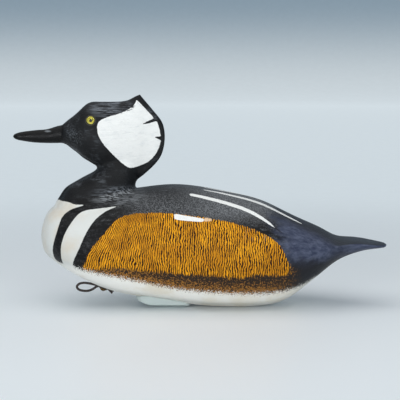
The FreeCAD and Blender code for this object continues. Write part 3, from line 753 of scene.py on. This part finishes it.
def head_paint():
    material, tree, shader = new_paint("head_paint", Specular_IOR_Level=0.18)
    drag = noise(tree, 0.0013, (0.07, 1, 1), detail=5, roughness=0.7)
    cloud = noise(tree, 0.018, detail=3)
    # Painted sheen: lighter grey streaks on the crown and round the neck's foot stand for
    # highlights.
    crown_sheen = zone(tree, -0.088, 0.199, 0.030, 0.013)
    collar_sheen = zone(tree, -0.080, 0.113, 0.036, 0.012)
    sheen = math_node(tree, "MAXIMUM", crown_sheen, collar_sheen)
    sheen = math_node(tree, "MAXIMUM", sheen, ramp(tree, cloud, 0.50, 0.68, 0.0, 0.35))
    brushed_sheen = times(tree, ramp(tree, drag, 0.42, 0.66), sheen)
    colour = blend(tree, brushed_sheen, shade(18, 19, 21), shade(126, 131, 138))
    # Painted glints: light grey specks on the cheek stand for highlights on its stippled paint.
    cheek_glint_specks = ramp(tree, noise(tree, 0.0013, detail=2, roughness=0.8), 0.50, 0.62)
    cheek_glints = times(tree, zone(tree, -0.124, 0.170, 0.012, 0.013), cheek_glint_specks)
    colour = blend(tree, times(tree, cheek_glints, 0.5), colour, shade(104, 108, 112))
    colour = blend(tree, ramp(tree, cloud, 0.52, 0.36, 0.0, 0.7), colour, shade(12, 12, 14))
    rim = times(tree, eye_distance(tree), -1.0)
    colour = blend(tree, ramp(tree, rim, -EYE_RIM - 0.0005, -EYE_RIM), colour, shade(34, 31, 20))
    fan = noise(tree, 0.0035, (0.35, 1, 1), detail=5)
    white = blend(tree, ramp(tree, fan, 0.48, 0.85), WHITE_CLEAN, shade(216, 218, 217))
    edge = ramp(tree, wobbled(tree, stored(tree, "crest"), 0.0025, 0.0010), -0.0002, 0.0003)
    colour = blend(tree, edge, colour, white)
    strokes = ramp(tree, noise(tree, 0.0017, (0.45, 1, 1.3), detail=2), 0.49, 0.54)
    strokes = times(tree, strokes, ramp(tree, stored(tree, "crest"), 0.0026, 0.0010))
    strokes = times(tree, strokes, zone(tree, -0.070, 0.198, 0.014, 0.010))
    colour = blend(tree, strokes, colour, shade(40, 41, 44))
    tree.links.new(colour, shader.inputs["Base Color"])
    relief = math_node(tree, "MULTIPLY_ADD", times(tree, edge, fan), 1.2, drag)
    bump(tree, shader, relief, 0.0005)
    tree.links.new(ramp(tree, drag, 0.3, 0.7, 0.34, 0.52, soft=False), shader.inputs["Roughness"])
    return material


head.data.materials.append(head_paint())


# %% The bill's paint
def bill_paint():
    material, tree, shader = new_paint("bill_paint", Specular_IOR_Level=0.16)
    drag = noise(tree, 0.0026, (0.3, 1, 1), detail=5)
    colour = blend(tree, ramp(tree, drag, 0.5, 0.8), shade(11, 11, 12), shade(34, 35, 38))
    # Painted highlight: a small light grey spot at the nostril.
    nostril_highlight = zone(tree, -0.1515, 0.1752, 0.0045, 0.0013)
    colour = blend(tree, times(tree, nostril_highlight, 0.7), colour, shade(126, 130, 134))
    tree.links.new(colour, shader.inputs["Base Color"])
    bump(tree, shader, drag, 0.0003)
    tree.links.new(ramp(tree, drag, 0.3, 0.7, 0.28, 0.45, soft=False), shader.inputs["Roughness"])
    return material


bill.data.materials.append(bill_paint())

# %% [markdown]
# ## Glass, metal, leather, wood and putty
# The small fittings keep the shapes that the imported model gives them. Each gets its own finish:
# clear glass over enamel for the eyes, worn brass and steel, dark oiled leather, bare dowel
# wood and dull putty.

# %% Small finishes
def mottled(name, first, second, size, roughness, relief, stretch=(1, 1, 1), **sockets):
    """A finish with two tones, uneven gloss and a little relief."""
    material, tree, shader = new_paint(name, **sockets)
    grain = noise(tree, size, stretch, detail=5)
    tone = blend(tree, ramp(tree, grain, 0.35, 0.68), first, second)
    tree.links.new(tone, shader.inputs["Base Color"])
    low, high = roughness
    tree.links.new(ramp(tree, grain, 0.3, 0.7, low, high, soft=False), shader.inputs["Roughness"])
    bump(tree, shader, grain, relief)
    return material


leather = mottled(
    "thong_leather", shade(60, 47, 42), shade(36, 29, 27), 0.0012, (0.45, 0.65), 0.00025
)
brass = mottled(
    "brass", shade(112, 88, 52), shade(58, 46, 32), 0.002, (0.25, 0.5), 0.00005, Metallic=1.0
)
steel = mottled(
    "steel", shade(150, 150, 152), shade(110, 108, 106), 0.002, (0.3, 0.5), 0.00005, Metallic=1.0
)
ALONG_PEG = (1, 1, 0.1)
dowel = mottled(
    "dowel_wood", shade(196, 160, 110), shade(160, 122, 78), 0.0015, (0.55, 0.75), 0.0001, ALONG_PEG
)
putty = mottled("eye_putty", shade(48, 46, 34), shade(30, 29, 26), 0.001, (0.4, 0.6), 0.0001)
iris = mottled(
    "iris_enamel", shade(250, 240, 104), shade(226, 206, 62), 0.0012, (0.2, 0.3), 0.00002
)
pupil = mottled("pupil_enamel", shade(16, 14, 14), shade(24, 22, 20), 0.001, (0.15, 0.25), 0.00002)
glass, glass_tree, glass_shader = new_paint("eye_glass", 0.02, Transmission_Weight=1.0, IOR=1.2)
clear = noise(glass_tree, 0.004)
glass_tone = blend(glass_tree, clear, (1, 1, 1, 1), (0.97, 0.98, 0.95, 1))
glass_tree.links.new(glass_tone, glass_shader.inputs["Base Color"])

for material, names in (
    (brass, ["loop_pin", "loop_washer", "ballast_screws"]),
    (steel, ["neck_screw", "neck_washer", "seam_nails", "eye_stem_left", "eye_stem_right"]),
    (dowel, ["neck_dowel", "shell_dowels"]),
    (putty, ["eye_putty_left", "eye_putty_right"]),
    (iris, ["eye_iris_left", "eye_iris_right"]),
    (pupil, ["eye_pupil_left", "eye_pupil_right"]),
    (glass, ["eye_glass_left", "eye_glass_right"]),
):
    for name in names:
        for material_slot in nodes[name].material_slots:
            material_slot.material = material
line_loop.data.materials.append(leather)
thong_ends.data.materials.append(leather)

# %% [markdown]
# ## The studio
# The decoy stands in the middle of a round pale sweep, a floor that curves up into a low wall,
# so that it can be looked at from every side. Half of its profile is drawn as one edge chain and
# spun round. The paper carries painted light: an emission glow that grows a little away from the
# middle, standing in for the light on studio paper, and that is painted darker up the wall as
# painted shade. A broad soft light hangs over the decoy. Two small low ones stand in
# front of it, far enough to each side to be out of sight from behind.

# %% The sweep
FLOOR_RADIUS = 3.4
CURVE_RADIUS = 0.9
WALL_TOP = 2.0
CURVE_STEPS = 12

profile = [(0.0, 0.0), (0.6, 0.0), (1.8, 0.0), (FLOOR_RADIUS, 0.0)]
for step in range(1, CURVE_STEPS + 1):
    turn = math.pi / 2 * step / CURVE_STEPS
    rise = CURVE_RADIUS * (1 - math.cos(turn))
    profile.append((FLOOR_RADIUS + CURVE_RADIUS * math.sin(turn), rise))
profile.append((FLOOR_RADIUS + CURVE_RADIUS, WALL_TOP))
sweep = bmesh.new()
chain = [sweep.verts.new((r, 0, z)) for r, z in profile]
links = [sweep.edges.new(pair) for pair in zip(chain, chain[1:])]
bmesh.ops.spin(
    sweep,
    geom=chain + links,
    cent=(0, 0, 0),
    axis=(0, 0, 1),
    angle=2 * math.pi,
    steps=96,
    use_merge=True,
)
bmesh.ops.remove_doubles(sweep, verts=sweep.verts, dist=0.01 * MM)
bmesh.ops.recalc_face_normals(sweep, faces=sweep.faces)
for face in sweep.faces:
    face.smooth = True
sweep_mesh = bpy.data.meshes.new("sweep")
sweep.to_mesh(sweep_mesh)
sweep.free()
backdrop = bpy.data.objects.new("sweep", sweep_mesh)
bpy.context.collection.objects.link(backdrop)

PAPER = shade(240, 244, 246)
GLOW = shade(196, 205, 210)
GLOW_HIGH = shade(130, 149, 163)
paper, paper_tree, paper_shader = new_paint(
    "sweep_paper", 0.4, Specular_IOR_Level=0.35, Emission_Strength=1.0
)
across = place(paper_tree)
height = add(paper_tree, "SeparateXYZ", {0: across}).outputs[2]
distance = add(paper_tree, "VectorMath", {0: across}, operation="LENGTH").outputs["Value"]
# Painted light and shade on the paper: its emission fades in away from the middle and darkens up
# the wall.
high = ramp(paper_tree, height, 0.02, 0.36)
glow = blend(paper_tree, high, GLOW, GLOW_HIGH)
far = ramp(paper_tree, distance, 0.2, 1.0)
fibres = ramp(paper_tree, noise(paper_tree, 0.02), 0.2, 0.8, 0.97, 1.0)
paper_light = blend(paper_tree, math_node(paper_tree, "MULTIPLY", far, fibres), (0, 0, 0, 1), glow)
paper_tone = blend(paper_tree, far, PAPER, (0.02, 0.022, 0.024, 1))
paper_tree.links.new(paper_tone, paper_shader.inputs["Base Color"])
paper_tree.links.new(paper_light, paper_shader.inputs["Emission Color"])
sweep_mesh.materials.append(paper)
print("sweep faces:", len(sweep_mesh.polygons))


# %% Lights
def soft_light(name, place_at, size, power, colour):
    data = bpy.data.lights.new(name, "AREA")
    data.shape = "RECTANGLE"
    data.size, data.size_y = size
    data.energy = power
    data.color = colour
    lamp = bpy.data.objects.new(name, data)
    bpy.context.collection.objects.link(lamp)
    lamp.location = place_at
    lamp.rotation_euler = (Vector(place_at) - LOOK_AT).to_track_quat("Z", "Y").to_euler()
    return lamp


soft_light("overhead", (-0.15, -0.35, 1.3), (2.3, 1.7), 13.0, (1.0, 0.99, 0.97))
soft_light("front_left", (-0.80, -1.90, 0.42), (0.6, 0.6), 10.5, (0.98, 0.99, 1.0))
soft_light("front_right", (0.78, -1.90, 0.42), (0.6, 0.6), 9.0, (0.98, 0.99, 1.0))
world = bpy.data.worlds.new("studio")
world.use_nodes = True
world.node_tree.nodes["Background"].inputs["Color"].default_value = (0.80, 0.86, 0.92, 1)
world.node_tree.nodes["Background"].inputs["Strength"].default_value = 0.45
bpy.context.scene.world = world
bpy.context.scene.view_settings.view_transform = "Standard"

# %% Update the scene
bpy.context.view_layer.update()
